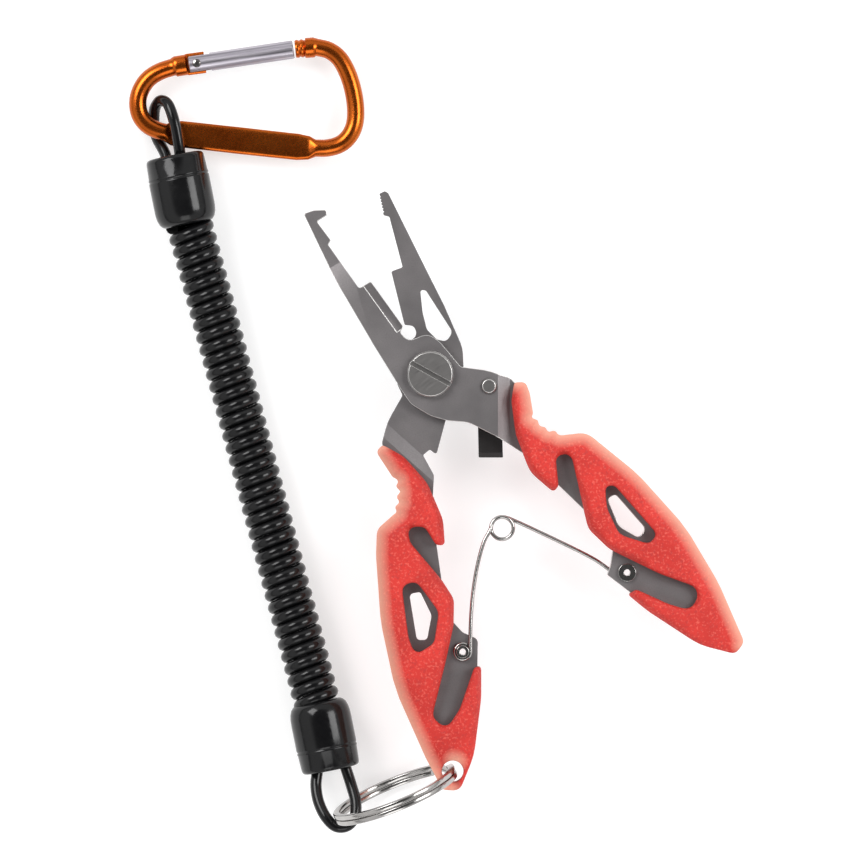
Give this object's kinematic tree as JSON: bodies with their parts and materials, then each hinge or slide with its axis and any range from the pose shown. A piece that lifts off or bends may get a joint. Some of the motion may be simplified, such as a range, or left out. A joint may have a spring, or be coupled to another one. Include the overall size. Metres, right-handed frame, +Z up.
{
  "type": "fishing pliers",
  "caption": "Slim split-ring fishing pliers with line-cutting blades, rubber grips, an opening spring, a closing latch and a coiled lanyard with a carabiner.",
  "frame": {"origin": "end of the pivot screw in the pivot nut's underside, on the pivot axis", "axes": "+Z up along the pivot axis, with the slotted screw head on top; +Y from the handles to the jaws; +X to the right seen from above"},
  "size_m": [0.1292, 0.1678, 0.0276],
  "materials": {
    "arm_steel": "dark warm grey satin steel",
    "latch_steel": "black",
    "grip_rubber": "matt fine-grained coral red rubber",
    "bright_steel": "bright plated steel",
    "cord_black": "gloss black plastic",
    "carabiner_orange": "orange anodised",
    "gate_silver": "brushed silver"
  },
  "bodies": {
    "lower_half": {"lower_arm": "arm_steel", "grip_left": "grip_rubber", "pivot_screw": "arm_steel", "pivot_nut": "arm_steel", "eyelet_left": "bright_steel"},
    "upper_half": {"upper_arm": "arm_steel", "grip_right": "grip_rubber", "latch_rivet": "arm_steel", "eyelet_right": "bright_steel"},
    "latch": {"latch_lever": "latch_steel"},
    "spring_left": {"spring_leg_left": "bright_steel"},
    "spring_right": {"spring_leg_right": "bright_steel", "spring_coil": "bright_steel"},
    "ring": {"key_ring": "bright_steel"},
    "lanyard": {"loop_lower": "cord_black", "sleeve_lower": "cord_black", "coil_cord": "cord_black", "sleeve_upper": "cord_black", "loop_upper": "cord_black"},
    "carabiner": {"carabiner_body": "carabiner_orange", "gate_pin": "gate_silver"},
    "gate": {"carabiner_gate": "gate_silver", "gate_plunger": "gate_silver", "gate_spring": "bright_steel"}
  },
  "joints": [
    {"name": "jaw_pivot", "type": "hinge", "parent": "lower_half", "child": "upper_half", "pos_m": [0, 0, 0.0044], "axis": [0, 0, -1], "range_deg": [-4, 20.2], "stiffness_Nm_per_rad": 0.3},
    {"name": "latch_swing", "type": "hinge", "parent": "upper_half", "child": "latch", "pos_m": [0.0123, -0.0025, 0.0009], "axis": [0, 0, -1], "range_deg": [0, 18]},
    {"name": "spring_left_turn", "type": "hinge", "parent": "lower_half", "child": "spring_left", "pos_m": [0.0068, -0.0582, 0.0044], "axis": [0, 0, 1], "range_deg": [-3.5, 16]},
    {"name": "spring_right_turn", "type": "hinge", "parent": "upper_half", "child": "spring_right", "pos_m": [0.0413, -0.0416, 0.0044], "axis": [0, 0, -1], "range_deg": [-3.5, 16]},
    {"name": "ring_swing", "type": "hinge", "parent": "lower_half", "child": "ring", "pos_m": [0.0047, -0.0833, 0.0044], "axis": [0, 0, 1], "range_deg": [-5, 60]},
    {"name": "lanyard_swing", "type": "hinge", "parent": "ring", "child": "lanyard", "pos_m": [-0.0189, -0.0922, -0.001], "axis": [0, 0, 1], "range_deg": [-5, 45]},
    {"name": "carabiner_swing", "type": "hinge", "parent": "lanyard", "child": "carabiner", "pos_m": [-0.056, 0.0515, -0.00475], "axis": [0, 0, 1], "range_deg": [0, 18]},
    {"name": "gate_swing", "type": "hinge", "parent": "carabiner", "child": "gate", "pos_m": [-0.0493, 0.0657, -0.00475], "axis": [0, 0, -1], "range_deg": [0, 25], "stiffness_Nm_per_rad": 0.01}
  ],
  "couplings": [
    {"joint": "spring_left_turn", "follows": "jaw_pivot", "ratio": 0.78},
    {"joint": "spring_right_turn", "follows": "jaw_pivot", "ratio": 0.78}
  ]
}
